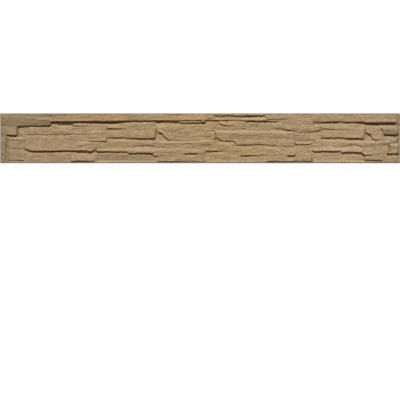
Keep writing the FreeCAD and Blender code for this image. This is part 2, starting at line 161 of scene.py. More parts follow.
# Small ledges and cracks: the points of each line, with how far the face drops there
SPLITS = [
    [(33, 143, 0), (40, 142, 4.5), (70, 140, 4.5), (84, 139, 7), (91, 138, 0)],
    [(44, 118, 0), (60, 118, 1.6), (116, 118, 1.6), (121, 118, 0)],
    [(60, 243, 0), (110, 242, 0.9), (160, 240, 0.9), (200, 239, 2.6), (245, 238, 2.6), (250, 238, 0)],
    [(88, 184, 0), (92, 184, 3.4), (115, 184, 2.4), (160, 184, 1.4), (245, 184, 1.4), (252, 184, 0)],
    [(120, 49, 0), (136, 36, 1.2), (154, 22, 0)],
    [(145, 66, 0), (170, 64, 3.4), (290, 64, 3), (310, 65, 1), (345, 65, 1), (380, 66, 5), (430, 65, 5.5)],
    [(150, 95, 0), (200, 92, 1.4), (214, 85, 1.4), (226, 88, 0.8), (300, 88, 0)],
    [(190, 247, 0), (205, 246, 2.6), (245, 245, 2.6), (250, 245, 0)],
    [(205, 168, 0), (280, 166, 1.2), (352, 169, 0)],
    [(238, 191, 0), (245, 190, 5), (255, 190, 6), (259, 190, 0)],
    [(246, 242, 0), (250, 242, 5), (258, 243, 5), (275, 243, 2.6), (330, 243, 2), (400, 243, 0)],
    [(256, 203, 0), (290, 202, 3.4), (355, 200, 4.2), (367, 199, 0)],
    [(295, 150, 0), (320, 149, 3), (385, 148, 3.6), (412, 147, 3), (430, 147, 0)],
    [(300, 229, 0), (380, 231, 1.3), (470, 228, 0)],
    [(345, 126, 0), (370, 117, 2), (395, 105, 2), (402, 103, 0)],
    [(366, 190, 0), (372, 190, 3), (415, 190, 2.4), (450, 189, 2.2), (475, 189, 0)],
    [(430, 65, 0), (440, 63, 5), (468, 61, 8), (474, 61, 0)],
    [(430, 206, 0), (460, 206, 4), (500, 205, 6), (560, 205, 5.5), (650, 208, 0)],
    [(443, 113, 0), (450, 113, 3.6), (532, 112, 3.6), (536, 112, 0)],
    [(530, 181, 0), (542, 177, 3.4), (590, 175, 3), (640, 174, 0)],
    [(556, 152, 0), (640, 150, 1.3), (738, 151, 0)],
    [(610, 216, 0), (640, 216, -2), (755, 215, -2), (772, 215, 0)],
    [(669, 31, 0), (672, 31, 3), (676, 31, 0)],
    [(690, 232, 0), (780, 229, 1.3), (865, 231, 0)],
    [(757, 50, 0), (762, 46, 4), (768, 34, 9), (774, 31, 5), (779, 31, 0)],
    [(776, 205, 0), (782, 205, 2.6), (805, 205, 2.2), (825, 205, 0)],
    [(779, 174, 0), (782, 170, 5), (787, 158, 7), (810, 152, 8), (832, 126, 7), (848, 120, 0)],
    [(780, 84, 0), (795, 83, 1.8), (815, 84, 1.8), (826, 86, 0)],
    [(784, 43, 0), (795, 42, 1.6), (820, 42, 1.6), (835, 42, 0)],
    [(798, 11, 0), (808, 11, 2.6), (885, 11, 2.6), (895, 11, 0)],
    [(803, 166, 0), (830, 165, 1.8), (890, 164, 1.8), (910, 163, 0)],
    [(810, 57, 0), (815, 57, 4), (820, 57, 0)],
    [(815, 245, 0), (830, 245, 4), (890, 245, 4), (925, 245, 0)],
    [(830, 155, 0), (880, 154, 1.3), (965, 151, 0)],
    [(890, 205, 0), (905, 205, 1.5), (1010, 205, 1.5), (1025, 205, 0)],
    [(900, 217, 0), (920, 217, 5.5), (1000, 217, 5.5), (1030, 217, 0)],
    [(935, 139, 0), (960, 138, 2.2), (985, 136, 2.2), (1015, 135, 0)],
    [(941, 228, 0), (945, 228, 2.5), (950, 228, 0)],
    [(990, 148, 0), (1005, 147, 2.4), (1050, 147, 2.6), (1070, 146, 0)],
    [(995, 139, 0), (1010, 138, 3.6), (1050, 138, 3.6), (1070, 137, 0)],
    [(998, 165, 0), (1020, 165, 2), (1055, 165, 2), (1066, 165, 0)],
    [(1006, 207, 0), (1013, 206, 5), (1026, 206, 6), (1030, 206, 0)],
    [(1064, 231, 0), (1085, 234, 3), (1190, 233, 3), (1225, 234, 1.4), (1322, 234, 3), (1328, 234, 0)],
    [(1083, 213, 0), (1090, 209, 4), (1108, 195, 4), (1120, 191, 4), (1150, 190, 3), (1185, 190, 0)],
    [(1110, 150, 0), (1150, 148, 1.6), (1200, 141, 1.8), (1250, 140, 1.8), (1305, 143, 0)],
    [(1126, 85, 0), (1150, 85, 1.3), (1172, 85, 0)],
    [(1130, 186, 0), (1146, 179, 3), (1162, 169, 0)],
    [(1168, 112, 0), (1172, 110, 5), (1184, 93, 5), (1192, 90, 0)],
    [(1192, 176, 0), (1215, 175, 3), (1240, 176, 0)],
    [(1214, 212, 0), (1240, 211, 5.2), (1290, 209, 7), (1340, 210, 5.2), (1378, 212, 0)],
    [(1255, 41, 2.4), (1330, 42, 1.2), (1420, 42, 0)],
    [(1268, 209, 0), (1280, 208, 3), (1325, 208, 3), (1335, 208, 0)],
    [(1284, 193, 1.5), (1305, 192, 2.4), (1355, 190, 2.4), (1368, 187, 0)],
    [(1322, 233, 0), (1328, 229, 2.6), (1335, 222, 2.8), (1345, 219, 2.8), (1400, 219, 2), (1445, 219, 0)],
    [(1436, 40, 0), (1445, 40, 2.8), (1472, 40, 2.8), (1478, 40, 0)],
    [(1478, 40, 0), (1500, 40, 1.2), (1540, 40, 1.2), (1560, 40, 0)],
    [(1478, 95, 2.6), (1540, 94, 2.6), (1560, 94, 0)],
    [(1600, 206, 0), (1606, 206, 3), (1640, 206, 2.4), (1680, 207, 0)],
    [(1606, 171, 0), (1612, 171, 4.6), (1650, 170, 3), (1700, 169, 0)],
    [(1617, 247, 0), (1622, 243, 3.6), (1648, 225, 3.6), (1655, 220, 0)],
    [(1680, 210, 0), (1700, 210, -1), (1775, 210, -1), (1800, 210, 0)],
    [(1684, 151, 0), (1740, 150, 1.3), (1808, 147, 0)],
    [(1690, 228, 0), (1780, 230, 1.3), (1892, 227, 0)],
    [(1705, 7, 0), (1710, 7, 8), (1719, 7, 8), (1724, 7, 0)],
    [(1800, 54, 0), (1806, 51, 8), (1813, 44, 9), (1824, 43, 6), (1850, 44, 3), (1870, 44, 0)],
    [(1812, 200, 0), (1818, 199, 9), (1855, 199, 8), (1890, 199, 12), (1930, 199, 11), (1982, 201, 0)],
    [(1819, 173, 0), (1822, 169, 6), (1827, 154, 9), (1848, 147, 12), (1862, 124, 12), (1883, 118, 0)],
    [(1860, 64, 0), (1880, 63, 1.5), (1940, 62, 1.5), (1950, 62, 0)],
    [(1908, 148, 0), (1913, 147, 5), (1926, 146, 5), (1930, 146, 0)],
    [(1933, 51, 0), (1938, 51, 10), (1955, 50, 9), (1966, 48, 5), (1988, 48, 5), (1992, 48, 0)],
]
# Swells and hollows, of which one flank catches the light: the width of the upper flank, and the points
# of the crest with their rise
RIDGES = [
    (7, [(42, 124, 0), (50, 124, 3), (116, 124, 3), (122, 124, 0)]),
    (8, [(176, 220, 0), (190, 220, 3.2), (250, 220, 3.2), (258, 220, 0)]),
    (8, [(285, 197, 0), (298, 197, -5.5), (360, 197, -5.5), (366, 197, 0)]),
    (6, [(364, 191, 0), (368, 191, 2.8), (425, 192, 2.6), (446, 192, 0)]),
    (8, [(385, 102, 0), (400, 102, 3.6), (460, 102, 3.6), (472, 102, 0)]),
    (6, [(440, 156, 0), (448, 156, 2), (530, 160, 2), (537, 160, 0)]),
    (9, [(476, 6, 0), (490, 6, 3.8), (780, 6, 3.8), (790, 6, 0)]),
    (12, [(476, 64, 0), (490, 64, 3.4), (640, 64, 3.4), (760, 62, 3.4), (770, 62, 0)]),
    (6, [(528, 200, 0), (536, 200, -4), (580, 202, -3), (610, 204, 0)]),
    (10, [(600, 206, 0), (630, 206, 1.8), (760, 206, 1.8), (775, 206, 0)]),
    (11, [(766, 64, 0), (780, 64, 3), (1015, 64, 3), (1030, 64, 0)]),
    (6, [(774, 203, 0), (780, 203, -4), (800, 203, -3), (812, 203, 0)]),
    (9, [(778, 103, 0), (795, 103, 3.8), (1050, 103, 3.8), (1075, 103, 0)]),
    (11, [(790, 184, 0), (805, 184, 2.6), (900, 184, 2.6), (915, 184, 0)]),
    (8, [(1000, 112, 0), (1012, 112, 3.6), (1064, 112, 3.6), (1078, 112, 0)]),
    (9, [(1030, 6, 0), (1050, 6, 3.2), (1260, 6, 3.2), (1280, 6, 0)]),
    (11, [(1066, 154, 0), (1080, 154, 4.2), (1300, 154, 4.2), (1450, 152, 4.2), (1472, 152, 0)]),
    (13, [(1195, 217, 0), (1225, 217, 3.8), (1322, 217, 3.8), (1330, 217, 0)]),
    (7, [(1476, 155, 0), (1488, 155, 2.6), (1530, 155, 2.6), (1560, 155, 0)]),
    (9, [(1558, 6, 0), (1570, 6, 3.6), (1815, 6, 3.6), (1830, 6, 0)]),
    (11, [(1558, 66, 0), (1570, 66, 3.4), (1700, 65, 3.4), (1805, 64, 3.4), (1816, 64, 0)]),
    (8, [(1680, 202, 0), (1700, 202, 3.8), (1775, 202, 3.8), (1795, 202, 0)]),
    (9, [(1814, 103, 0), (1825, 103, 3.8), (1950, 103, 3.8), (1964, 103, 0)]),
    (8, [(1885, 112, 0), (1905, 112, 2.6), (1972, 112, 2.6), (1985, 112, 0)]),
    (8, [(1944, 91, 0), (1950, 91, 2.8), (1988, 91, 2.8), (1994, 91, 0)]),
]
# Places where a joint between two stones is worn or filled: the middle, the reach each way, and how much
FADES = [
    (85, 12, 40, 6, 0.35),
    (125, 185, 14, 6, 0.6),
    (538, 150, 8, 24, 0.9),
    (650, 174, 45, 8, 0.6),
    (745, 125, 14, 8, 0.4),
    (850, 117, 24, 7, 0.6),
    (930, 117, 70, 7, 0.9),
    (935, 48, 20, 6, 0.7),
    (945, 8, 50, 9, 0.95),
    (1028, 30, 8, 30, 0.6),
    (1035, 116, 50, 9, 0.95),
    (1062, 123, 12, 7, 0.8),
    (1086, 239, 20, 8, 0.5),
    (1140, 63, 42, 8, 0.9),
    (1250, 91, 45, 8, 0.4),
    (1279, 185, 12, 10, 0.5),
    (1325, 88, 45, 9, 0.75),
    (1350, 169, 50, 9, 0.95),
    (1400, 172, 35, 8, 0.75),
    (1420, 86, 50, 8, 0.45),
    (1478, 164, 16, 10, 1.0),
    (1482, 160, 20, 12, 0.95),
    (1500, 7, 50, 8, 0.7),
    (1518, 102, 45, 6, 0.8),
    (1518, 119, 45, 7, 0.9),
    (1520, 161, 50, 10, 0.9),
    (1560, 80, 8, 16, 0.7),
    (1584, 212, 26, 9, 0.7),
    (1590, 169, 25, 9, 0.5),
    (1602, 182, 9, 14, 0.6),
    (1640, 178, 45, 5, 0.8),
    (1770, 94, 45, 7, 0.4),
    (1940, 118, 55, 8, 0.9),
    (1944, 98, 8, 10, 0.6),
    (1962, 113, 20, 7, 0.8),
    (1962, 114, 30, 7, 0.9),
    (1966, 54, 32, 6, 0.95),
    (1984, 196, 10, 10, 0.9),
    (1985, 141, 12, 10, 1.0),
]
# Stones of a duller colour than the rest, and upright walls darkened as painted shade: left, right, lower
# and upper border, and how much
DULL_STONES_AND_SHADED_WALLS = [
    (0, 30, 0, 190, 0.35),
    (0, 182, 190, 229, 0.65),
    (0, 330, 222, 250, 0.45),
    (30, 46, 8, 128, 0.5),
    (77, 93, 138, 152, 0.8),
    (178, 250, 190, 217, 0.7),
    (478, 770, 14, 44, 0.45),
    (772, 780, 122, 168, 0.8),
    (1468, 1476, 116, 146, 0.7),
    (1806, 1956, 44, 60, 0.25),
    (1918, 1992, 146, 174, 0.85),
    (1977, 2000, 114, 148, 0.7),
    (1978, 2000, 0, 250, 0.2),
]


def smooth_step(share):
    """A share between 0 and 1, with a gentle start and end."""
    return share**3 * (share * (6 * share - 15) + 10)


def lattice_noise(x, y, seed):
    """Smooth noise between about -1 and 1, with one bump to a unit cell."""
    cells = 256  # after so many the pattern repeats
    swing = 1.5
    chance = np.random.RandomState(seed)
    shuffle = chance.permutation(cells)
    angle = chance.uniform(0, 2 * math.pi, cells)
    column = np.floor(x).astype(int)
    row = np.floor(y).astype(int)
    along = x - column
    across = y - row

    def corner(i, j):
        picked = angle[shuffle[(shuffle[(column + i) % cells] + row + j) % cells]]
        return np.cos(picked) * (along - i) + np.sin(picked) * (across - j)

    ease_x = smooth_step(along)
    ease_y = smooth_step(across)
    lower = corner(0, 0) + ease_x * (corner(1, 0) - corner(0, 0))
    upper = corner(0, 1) + ease_x * (corner(1, 1) - corner(0, 1))
    return swing * (lower + ease_y * (upper - lower))


def layered_noise(x, y, cell_x, cell_y, layers, seed):
    """Noise of several sizes, each half the size and half the height of the one before."""
    total = np.zeros_like(x)
    for layer in range(layers):
        fine = 2**layer
        total += lattice_noise(x * fine / cell_x, y * fine / cell_y, seed + layer) / fine
    return total


def shifted(values, steps, axis):
    """The map with each point given the value that lies that many steps further on, up to the border."""
    places = np.clip(np.arange(values.shape[axis]) + steps, 0, values.shape[axis] - 1)
    return np.take(values, places, axis=axis)


def ramped(values, start, length):
    """Nothing up to the start, and one from a length beyond it."""
    return np.clip((values - start) / length, 0, 1)


def blurred(heights, radius, axes=ACROSS + ALONG):
    """The map with each point averaged over its neighbours, weighted by a bell of that radius."""
    end = 2.5  # radii at which the bell is cut off
    for axis, step in axes:
        reach = int(math.ceil(end * radius / step))
        steps = np.arange(-reach, reach + 1)
        weights = np.exp(-0.5 * (steps * step / radius) ** 2)
        parts = [weight * shifted(heights, shift, axis) for shift, weight in zip(steps, weights)]
        heights = sum(parts) / weights.sum()
    return heights


def upright_gaps(heights, reach):
    """How deep each point lies in a gap across the courses that is narrower than twice the reach."""
    most = int(reach / STEP_X)
    filled = heights
    for outermost in (np.maximum, np.minimum):
        filled = outermost.reduce([shifted(filled, shift, 1) for shift in range(-most, most + 1)])
    return filled - heights


def shelter(heights, elevation, reach):
    """How far each point lies under light that comes down the face, over the lips above it."""
    lip = heights
    for steps in range(1, int(reach / STEP_Y) + 1):
        fall = steps * STEP_Y * math.tan(elevation)
        lip = np.maximum(lip, shifted(heights, steps, 0) - fall)
    return lip - heights


def read_solid(tree, x, y, downwards):
    """Height of the solid's surface at each point, and the number of the flat that lies there."""
    start = 2 * THICKNESS if downwards else -THICKNESS
    way = Vector((0, 0, -1 if downwards else 1))
    heights = np.zeros(x.size)
    planes = np.zeros((x.size, 3))
    for i, (px, py) in enumerate(zip(x.ravel(), y.ravel())):
        spot, normal = tree.ray_cast(Vector((px, py, start)), way)[:2]
        heights[i] = spot.z
        planes[i] = normal.x, normal.y, normal.dot(spot)
    rounded = np.round(planes * FLAT_STEPS).astype(int)
    flats = np.unique(rounded, axis=0, return_inverse=True)[1]
    return heights.reshape(x.shape), flats.reshape(x.shape)


def kept_inside(x, y, margin):
    """The points, with those near the outline or past it moved in to a margin."""
    most_x = HALF_LENGTH - margin
    most_y = HALF_HEIGHT - margin
    return np.clip(x, -most_x, most_x), np.clip(y, -most_y, most_y)


def grid():
    """The points of a height map as shares of the board's half length and half height."""
    count_x = int(round(2 * HALF_LENGTH / STEP_X))
    count_y = int(round(2 * HALF_HEIGHT / STEP_Y))
    return np.meshgrid(np.linspace(-1, 1, count_x), np.linspace(-1, 1, count_y))


def hollowed(heights):
    """The map with the stones under each lip dipping towards it."""
    slope = math.radians(28)
    reach = 24 * MM
    share = 0.35
    return heights - share * blurred(shelter(heights, slope, reach), 1.5 * MM)


def eased(heights):
    """The map with each step up, on the way down the face, eased to a slope: a stone's worn upper arris."""
    reach = 15 * MM
    rise = 0.35 * MM
    slope = 0.62
    curve = 14  # times the way squared, how far the climb falls below that slope
    result = heights
    for steps in range(1, round(reach / STEP_Y) + 1):
        way = steps * STEP_Y
        climb = rise + slope * way - curve * way**2
        result = np.minimum(result, shifted(heights, steps, 0) + climb)
    return result


def worn(heights):
    """The map with its sharp arrises rounded and its roots filled a little."""
    proudest = blurred(heights, 2.2 * MM) + 0.8 * MM
    heights = np.minimum(heights, proudest)
    deepest = blurred(heights, 1.6 * MM) - 1.2 * MM
    return np.maximum(heights, deepest)


def thin_ledges(x, y, shift, pitch, drop, seed):
    """Ledges along the board, each proudest at its lower side, that come and go."""
    wander = 0.9  # of the pitch
    stretch = 90 * MM
    next_x = 7.3  # from one ledge's noise to the next one's
    next_y = 0.37
    base = 0.15  # a ledge's usual share of its drop
    swing = 1.3  # how far that share goes up and down
    course = (y + shift) / pitch + wander * layered_noise(x + shift, y, 170 * MM, 60 * MM, 3, seed)
    number = np.floor(course)
    down = 1 - (course - number)
    presence = lattice_noise(x / stretch + next_x * number, next_y * number + shift, seed + 9)
    return drop * np.clip(base + swing * presence, 0, 1) * down**2


def on_sheet(x, y):
    """Where a point lies on the drawn face, in millimetres from the left end and the lower edge."""
    return (x + HALF_LENGTH) / MM, (y + RELIEF_DROP + HALF_HEIGHT) / MM


def about_line(x, y, line):
    """How far each point lies above a drawn line, in millimetres, and the line's own value there."""
    from_left, from_low = on_sheet(x, y)
    line_x, line_y, value = np.array(line, float).T
    above = from_low - np.interp(from_left, line_x, line_y)
    return above, np.interp(from_left, line_x, value, left=0, right=0)


def splits(x, y):
    """The small ledges and cracks that were drawn, with wider walls where a line is slanted."""
    lip = 8  # how far above a line the lip falls off, and below it the root
    root = 4
    root_share = 0.35
    upright_wall = 0.3  # width of the wall between them, and how much wider it is at a slant
    slanted_wall = 1.2
    total = np.zeros_like(x)
    for line in SPLITS:
        above, drop = about_line(x, y, line)
        wall = upright_wall + slanted_wall * np.abs(np.gradient(above, axis=1))
        upper = np.exp(-np.maximum(above, 0) / lip)
        lower = -root_share * np.exp(np.minimum(above, 0) / root)
        share = np.clip(above / wall + 0.5, 0, 1)
        total += drop * MM * (lower + share * (upper - lower))
    return total


def ridges(x, y):
    """The swells and hollows that were drawn, with a short upper flank and a long lower one."""
    longer = 3
    total = np.zeros_like(x)
    for flank, line in RIDGES:
        above, rise = about_line(x, y, line)
        way = np.clip(np.where(above > 0, above / flank, -above / (longer * flank)), 0, 1)
        total += rise * MM * (1 - way * way * (3 - 2 * way))
    return total


def dullness(x, y):
    """How much duller each point is than the rest, with soft borders: duller stones, and painted shade on
    upright walls.
    """
    soft = 6.0  # width of a border
    from_left, from_low = on_sheet(x, y)
    total = np.zeros_like(x)
    for left, right, lower, upper, share in DULL_STONES_AND_SHADED_WALLS:
        inside_x = np.minimum(from_left - left, right - from_left)
        inside_y = np.minimum(from_low - lower, upper - from_low)
        inside = np.clip(np.minimum(inside_x, inside_y) / soft + 0.5, 0, 1)
        total = np.maximum(total, share * inside)
    return total


def around_spot(x, y, middle_x, middle_y, reach_x, reach_y):
    """One within a drawn spot's reach, and nothing well outside it."""
    from_left, from_low = on_sheet(x, y)
    away = ((from_left - middle_x) / reach_x) ** 2 + ((from_low - middle_y) / reach_y) ** 2
    return np.exp(-(away**2))


def slips(x, y):
    """How far down the stones' borders were moved at the given spots."""
    return sum(down * MM * around_spot(x, y, *spot) for *spot, down in SLIPS)


def faded(heights, x, y):
    """The map with the worn and filled joints smoothed out."""
    smooth = blurred(heights, 6 * MM)
    for *spot, share in FADES:
        heights = heights + share * around_spot(x, y, *spot) * (smooth - heights)
    return heights


def flanks(x, y):
    """How steeply the swells' upper flanks face the light."""
    way = 1 * MM
    return np.clip((ridges(x, y) - ridges(x, y + way)) / way, 0, 1)


def facets(x, y):
    """Hollows between blunt arrises that run across the courses at a slant, as split stone has them."""
    length = 90 * MM
    width = 40 * MM
    depth = 1.8 * MM
    slant_x = 0.7
    slant_y = 0.25
    slanted = lattice_noise((x + slant_x * y) / length, (y - slant_y * x) / width, SEED + 50)
    return -depth * np.abs(slanted)


def unstepped(heights):
    """The map with its slanted walls smoothed, so that they don't show the grid's steps."""
    smooth = blurred(heights, STEP_X)
    steepness = np.abs(np.gradient(smooth, STEP_X, axis=1))
    share = blurred(ramped(steepness, start=0.25, length=0.3), 1.5 * MM)
    return heights + share * (smooth - heights)


def limited(heights, top):
    """The map with what comes near the top pressed together under it."""
    soft = 1.2 * MM
    over = np.maximum(heights - (top - soft), 0)
    return np.where(over > 0, top - soft * np.exp(-over / soft), heights)


def split_stones(tree, x, y):
    """Heights of the solid's stones with ragged borders and worn arrises, and the number of each flat."""
    ragged_x = RAGGED * layered_noise(x, y, 40 * MM, 22 * MM, 4, SEED + 10)
    ragged_y = RELIEF_DROP + RAGGED * layered_noise(x, y, 60 * MM, 50 * MM, 4, SEED) + slips(x, y)
    spots = kept_inside(x + ragged_x, y + ragged_y, LEAN * THICKNESS + MARGIN)
    heights, flats = read_solid(tree, *spots, downwards=True)
    heights = blurred(heights, 1.8 * MM, ALONG)
    return faded(worn(eased(hollowed(heights))), x, y), flats


def face_map(tree, u, v):
    """Heights of the split-stone face, and a tone of its own for each stone."""
    apart = 9  # the stones' noises lie up to so many metres from each other
    x = u * (HALF_LENGTH - FACE_INSET)
    y = v * (HALF_HEIGHT - FACE_INSET)
    heights, flats = split_stones(tree, x, y)
    chance = np.random.RandomState(SEED)
    shift = chance.uniform(0, apart, flats.max() + 1)[flats]
    tone = chance.uniform(-1, 1, flats.max() + 1)[flats]
    for pitch, drop, seed in LEDGES:
        heights = heights + thin_ledges(x, y, shift, pitch, drop, seed)
    heights = unstepped(heights + splits(x, y)) + ridges(x, y) + facets(x + shift, y)
    for height, length, width, seed in LUMPS:
        heights = heights + height * layered_noise(x + shift, y, length, width, 2, seed)
    heights = heights + GRAIN * layered_noise(x, y, 8 * MM, 5 * MM, 2, SEED + 70)
    return limited(heights, THICKNESS), tone


def back_map(tree, u, v):
    """Heights of the stamped back above the ground."""
    wave = 30 * MM
    grain = 12 * MM
    x = u * HALF_LENGTH
    y = v * HALF_HEIGHT
    ragged_x = RAGGED_JOINTS * layered_noise(x, y, wave, wave, 3, SEED + 80)
    ragged_y = RAGGED_JOINTS * layered_noise(x, y, wave, wave, 3, SEED + 90)
    spots = kept_inside(x + ragged_x, y + ragged_y, MARGIN)
    heights = read_solid(tree, *spots, downwards=False)[0]
    pits = layered_noise(x, y, grain, grain, 3, SEED + 100)
    heights = blurred(heights, 1.3 * MM) + PITTING * np.clip(pits, 0, 1)
    return np.maximum(heights, 0)


def border(u, v):
    """How far each point of a map lies inside its outline."""
    return np.minimum((1 - np.abs(u)) * HALF_LENGTH, (1 - np.abs(v)) * HALF_HEIGHT)


def rounded_border(heights, u, v, sink):
    """The map with its outermost points moved, so that the board's own arrises are rounded and chipped."""
    size = 35 * MM
    unevenness = 0.8
    chips = layered_noise(u * HALF_LENGTH, v * HALF_HEIGHT, size, size, 4, SEED + 110)
    arris = ARRIS * (1 + unevenness * np.clip(chips, -1, 1))
    near = np.clip(1 - border(u, v) / (2 * arris), 0, 1)
    return heights + sink * arris * near**2


def place(u, v, heights, inset):
    """Points of a map: at the inset's outline, and near the border on the outline that each height has."""
    near = np.clip(1 - border(u, v) / BORDER, 0, 1)
    shrink = inset + (LEAN * heights - inset) * near
    x = u * (HALF_LENGTH - shrink)
    y = v * (HALF_HEIGHT - shrink)
    return np.stack([x.ravel(), y.ravel(), heights.ravel()], axis=1)


def border_loop(rows, columns):
    """Numbers of a grid's outermost points, once round, counter-clockwise."""
    numbers = np.arange(rows * columns).reshape(rows, columns)
    return np.concatenate([numbers[0, :-1], numbers[:-1, -1], numbers[-1, :0:-1], numbers[:0:-1, 0]])


def grid_quads(rows, columns):
    """The four corners of each cell of a grid, counter-clockwise."""
    numbers = np.arange(rows * columns).reshape(rows, columns)
    corners = [numbers[:-1, :-1], numbers[:-1, 1:], numbers[1:, 1:], numbers[1:, :-1]]
    return np.stack([corner.ravel() for corner in corners], axis=1)


def side_pits(around, up):
    """How deep the shallow pits and the few small holes of a cast side are."""
    pit_depth = 0.6 * MM
    hole_size = 9 * MM
    hole_start = 0.5  # there is a hole where its noise is above this
    hole_most = 0.6  # of that noise
    hole_depth = 2.5 * MM  # for a unit of it
    pits = layered_noise(around, up, 16 * MM, 12 * MM, 3, SEED + 120)
    holes = lattice_noise(around / hole_size, up / hole_size, SEED + 130)
    return pit_depth * np.clip(pits, 0, 1) + hole_depth * np.clip(holes - hole_start, 0, hole_most)


def edge_rungs(upper, lower):
    """Rows of points down the board's edges, from the face's border to the back's."""
    around = np.concatenate([[0], np.cumsum(np.linalg.norm(np.diff(lower[:, :2], axis=0), axis=1))])
    on_end = np.abs(np.abs(lower[:, 0]) - HALF_LENGTH) < np.abs(np.abs(lower[:, 1]) - HALF_HEIGHT)
    inwards = np.where(on_end[:, None], [[1, 0, 0]], [[0, 1, 0]]) * -np.sign(lower)
    rungs = []
    for step in range(1, SIDE_ROWS):
        share = step / SIDE_ROWS
        row = upper + (lower - upper) * share
        depth = side_pits(around, row[:, 2]) * math.sin(math.pi * share) ** 0.5
        rungs.append(row + inwards * depth[:, None])
    return rungs


def board_mesh(u, v, face, back):
    """One closed mesh: the face, the back and the four edges between them."""
    rows, columns = u.shape
    face_points = place(u, v, face, FACE_INSET)
    back_points = place(u, v, back, 0)
    loop = border_loop(rows, columns)
    rungs = edge_rungs(face_points[loop], back_points[loop])
    count = rows * columns
    rings = [loop]
    for step in range(SIDE_ROWS - 1):
        rings.append(2 * count + step * len(loop) + np.arange(len(loop)))
    rings.append(count + loop)
    quads = [grid_quads(rows, columns), count + grid_quads(rows, columns)[:, ::-1]]
    for above, below in zip(rings[:-1], rings[1:]):
        quads.append(np.stack([above, below, np.roll(below, -1), np.roll(above, -1)], axis=1))
    return np.concatenate([face_points, back_points] + rungs), np.concatenate(quads)


def new_mesh(name, points, quads):
    """A mesh of four-sided faces."""
    mesh = bpy.data.meshes.new(name)
    mesh.vertices.add(len(points))
    mesh.vertices.foreach_set("co", points.ravel())
    mesh.loops.add(quads.size)
    mesh.loops.foreach_set("vertex_index", quads.ravel())
    mesh.polygons.add(len(quads))
    mesh.polygons.foreach_set("loop_start", np.arange(0, quads.size, 4))
    mesh.update(calc_edges=True)
    return mesh


def mesh_points(mesh):
    """A mesh's points, one to a row."""
    points = np.zeros(3 * len(mesh.vertices))
    mesh.vertices.foreach_get("co", points)
    return points.reshape(-1, 3)


def thinned(piece):
    """The piece's mesh with its flatter stretches in larger triangles, kept within the board's thickness."""
    whole = 2 * len(piece.data.polygons)
    thin = piece.modifiers.new("thin", "DECIMATE")
    thin.ratio = MOST_TRIANGLES / whole
    evaluated = piece.evaluated_get(bpy.context.evaluated_depsgraph_get())
    mesh = bpy.data.meshes.new_from_object(evaluated)
    piece.modifiers.remove(thin)
    points = mesh_points(mesh)
    points[:, 2] = np.clip(points[:, 2], 0, THICKNESS)
    mesh.vertices.foreach_set("co", points.ravel())
    mesh.update()
    mesh.shade_smooth()
    mesh.set_sharp_from_angle(angle=CREASE)
    piece.data = mesh


def read_map(values, u, v):
    """A map's values at shares of the board's half length and half height."""
    rows, columns = values.shape
    inside = 1.001  # keeps the next row and column within the map
    column = np.clip((u + 1) / 2 * (columns - 1), 0, columns - inside)
    row = np.clip((v + 1) / 2 * (rows - 1), 0, rows - inside)
    i = column.astype(int)
    j = row.astype(int)
    s = column - i
    t = row - j
    lower = values[j, i] * (1 - s) + values[j, i + 1] * s
    upper = values[j + 1, i] * (1 - s) + values[j + 1, i + 1] * s
    return lower * (1 - t) + upper * t


def mark(mesh, name, values):
    """Keeps a value for each point of a mesh, for the material to read."""
    attribute = mesh.attributes.new(name, "FLOAT", "POINT")
    attribute.data.foreach_set("value", values.astype(np.float32))


def mark_face(mesh, face, tone):
    """Marks each point of the face: in the sun's shadow under a lip, for a painted shadow; in an upright gap
    or on a steep wall, for painted shade; on a crest; and its stone's tone.
    """
    x, y, z = mesh_points(mesh).T
    on_face = z > FACE_FROM
    # painted shade: narrow upright gaps and steep walls are marked to be darkened in the colour
    gap = ramped(upright_gaps(face, 9 * MM), start=1.2 * MM, length=3.0 * MM)
    steepness = np.abs(np.gradient(blurred(face, 2 * MM, ACROSS), STEP_X, axis=1))
    wall = ramped(steepness, start=0.25, length=0.4)
    crest = face - blurred(face, 3 * MM)
    maps = {
        # painted shadow: where the sun's light is blocked by the lips above, to be coloured dark brown
        "painted_shadow": ramped(shelter(face, SUN_ELEVATION, 20 * MM), start=0.6 * MM, length=3.5 * MM),
        "gap": np.maximum(gap, wall),
        "wear": ramped(crest, start=0.2 * MM, length=1.2 * MM),
        "tone": tone,
    }
    u = x / (HALF_LENGTH - FACE_INSET)
    v = y / (HALF_HEIGHT - FACE_INSET)
    for name, values in maps.items():
        mark(mesh, name, np.where(on_face, read_map(values, u, v), 0))
    mark(mesh, "dull", np.where(on_face, dullness(x, y), 0))
    mark(mesh, "flank", np.where(on_face, flanks(x, y), 0))


def mark_rest(mesh, back):
    """Marks the stamped joints of the back and the board's edges."""
    x, y, z = mesh_points(mesh).T
    on_back = z < BACK_TO
    floors = ramped(back, start=0.8 * MM, length=1.6 * MM)
    joint = read_map(floors, x / HALF_LENGTH, y / HALF_HEIGHT)
    inside = np.minimum(HALF_LENGTH - np.abs(x), HALF_HEIGHT - np.abs(y)) - LEAN * z
    narrow = ramped(inside, start=1 * MM, length=2 * MM)
    wide = ramped(inside, start=0, length=6 * MM)
    mark(mesh, "joint", np.where(on_back, joint, 0))
    mark(mesh, "side", 1 - np.where(on_back, narrow, wide))


